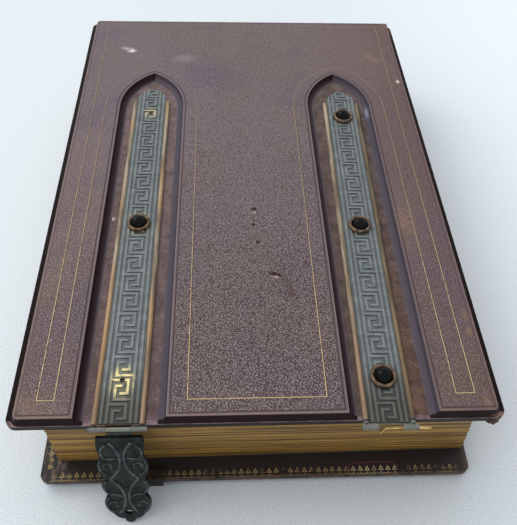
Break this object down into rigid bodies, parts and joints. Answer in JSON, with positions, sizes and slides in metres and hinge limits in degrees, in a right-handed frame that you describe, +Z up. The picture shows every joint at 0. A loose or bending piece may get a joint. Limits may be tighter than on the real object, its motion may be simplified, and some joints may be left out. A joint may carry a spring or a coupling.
{
  "type": "leather photo album",
  "caption": "Antique leather-covered photo album with two key-pattern metal straps, black stone studs and one scrolled clasp, lying shut",
  "frame": {"origin": "middle of the lower cover's underside, on the table", "axes": "+X to the right along the spine, +Y from the clasped fore edge towards the spine, +Z up through the upper cover"},
  "size_m": [0.2292, 0.3585, 0.0721],
  "materials": {
    "board": "matte",
    "leather": "satin",
    "endpaper": "matte",
    "flyleaf": "matte",
    "gilt_leaves": "satin",
    "copper": "satin",
    "silvered": "satin",
    "brass": "satin",
    "black_stone": "gloss",
    "pin_metal": "satin",
    "clasp_metal": "satin",
    "catch_metal": "satin"
  },
  "bodies": {
    "lower_cover": {"lower_leather": "leather", "lower_board": "board", "lower_pastedown": "endpaper", "left_catch_plate": "catch_metal"},
    "text_block": {"page_block": "gilt_leaves", "upper_flyleaf": "flyleaf", "lower_flyleaf": "flyleaf", "spine_liner": "board", "spine_leather": "leather"},
    "upper_cover": {"upper_leather": "leather", "upper_board": "board", "upper_pastedown": "endpaper", "left_strap_base": "copper", "right_strap_base": "copper", "left_key_band": "silvered", "right_key_band": "silvered", "left_mid_bezel": "brass", "left_mid_cabochon": "black_stone", "right_near_bezel": "brass", "right_near_cabochon": "black_stone", "right_mid_bezel": "brass", "right_mid_cabochon": "black_stone", "right_far_bezel": "brass", "right_far_cabochon": "black_stone", "left_hinge_pin": "pin_metal", "right_hinge_pin": "brass"},
    "left_clasp": {"left_clasp": "clasp_metal"}
  },
  "joints": [
    {"name": "lower_cover_hinge", "type": "hinge", "parent": "lower_cover", "child": "text_block", "pos_m": [0, 0.171, 0.004], "axis": [-1, 0, 0], "range_deg": [0, 90]},
    {"name": "upper_cover_hinge", "type": "hinge", "parent": "text_block", "child": "upper_cover", "pos_m": [0, 0.1735, 0.0656], "axis": [-1, 0, 0], "range_deg": [0, 180]},
    {"name": "left_clasp_hinge", "type": "hinge", "parent": "upper_cover", "child": "left_clasp", "pos_m": [-0.0648, -0.165, 0.0649], "axis": [-1, 0, 0], "range_deg": [-12.4, 170]}
  ]
}
